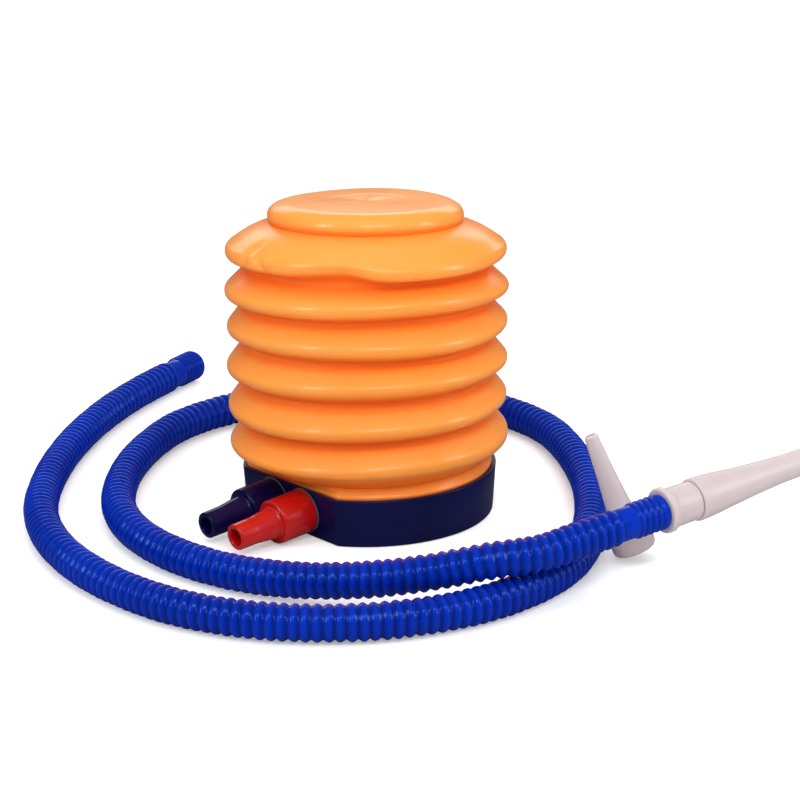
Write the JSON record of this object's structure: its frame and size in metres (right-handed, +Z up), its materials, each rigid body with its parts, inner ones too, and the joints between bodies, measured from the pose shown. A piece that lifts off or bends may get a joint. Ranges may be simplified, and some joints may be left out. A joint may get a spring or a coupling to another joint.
{
  "type": "ball inflation pump",
  "caption": "Foot-pressed bellows pump on a D-shaped base with inflate and deflate ports, a loose corrugated hose, a long two-piece nozzle and a spare cone nozzle.",
  "frame": {"origin": "centre of the bellows axis on the floor, which is the middle of the tub's underside", "axes": "+Z up along the bellows axis, the flat of the base and both ports face -X, the outlet port is on the -Y side"},
  "size_m": [0.3149, 0.3933, 0.1416],
  "materials": {
    "bellows": "soft satin blow-moulded plastic, slightly translucent",
    "navy_plastic": "glossy injection-moulded plastic",
    "red_plastic": "glossy injection-moulded plastic",
    "clear_seal": "thin soft seal",
    "milky_plastic": "milky soft plastic",
    "blue_hose": "corrugated flexible plastic"
  },
  "bodies": {
    "base": {"base_tub": "navy_plastic", "bellows_skirt": "bellows", "bellows_pleats": "bellows", "clamp_ring": "navy_plastic", "outlet_port": "red_plastic", "outlet_gasket": "clear_seal", "outlet_valve_seat": "milky_plastic", "outlet_flap_pin": "milky_plastic", "inlet_port": "navy_plastic", "inlet_gasket": "clear_seal", "inlet_valve_seat": "milky_plastic", "inlet_flap_pin": "milky_plastic"},
    "crown": {"bellows_crown": "bellows"},
    "outlet_valve": {"outlet_flap": "clear_seal"},
    "inlet_valve": {"inlet_flap": "clear_seal"},
    "hose_coil": {"hose": "blue_hose"},
    "hose_end": {"hose_free_end": "blue_hose"},
    "adapter": {"nozzle_adapter": "milky_plastic"},
    "nozzle": {"long_nozzle": "milky_plastic"},
    "spare": {"spare_nozzle": "milky_plastic"}
  },
  "joints": [
    {"name": "bellows_stroke", "type": "slide", "parent": "base", "child": "crown", "axis": [0, 0, -1], "range_m": [0, 0.062], "stiffness_N_per_m": 600, "deforming": ["bellows_pleats"]},
    {"name": "outlet_flap_swing", "type": "hinge", "parent": "base", "child": "outlet_valve", "pos_m": [-0.04679, -0.0105, 0.01552], "axis": [0, 1, 0], "range_deg": [0, 40], "stiffness_Nm_per_rad": 0.0005},
    {"name": "inlet_flap_swing", "type": "hinge", "parent": "base", "child": "inlet_valve", "pos_m": [-0.03892, 0.0105, 0.01621], "axis": [0, -1, 0], "range_deg": [0, 40], "stiffness_Nm_per_rad": 0.0005},
    {"name": "hose_lift", "type": "slide", "parent": "base", "child": "hose_coil", "axis": [0, 0, 1], "range_m": [0, 0.06]},
    {"name": "hose_end_lift", "type": "hinge", "parent": "hose_coil", "child": "hose_end", "pos_m": [-0.04157, -0.14151, 0.032], "axis": [-0.4235, -0.9059, 0], "range_deg": [0, 30]},
    {"name": "adapter_pull", "type": "slide", "parent": "hose_end", "child": "adapter", "axis": [0.9887, -0.1243, 0.0839], "range_m": [0, 0.03], "stiffness_N_per_m": 20},
    {"name": "long_nozzle_pull", "type": "slide", "parent": "adapter", "child": "nozzle", "axis": [0.9887, -0.1243, 0.0839], "range_m": [0, 0.025], "stiffness_N_per_m": 20},
    {"name": "spare_nozzle_lift", "type": "slide", "parent": "hose_coil", "child": "spare", "axis": [-0.2256, 0.2888, 0.9304], "range_m": [0, 0.05]}
  ]
}
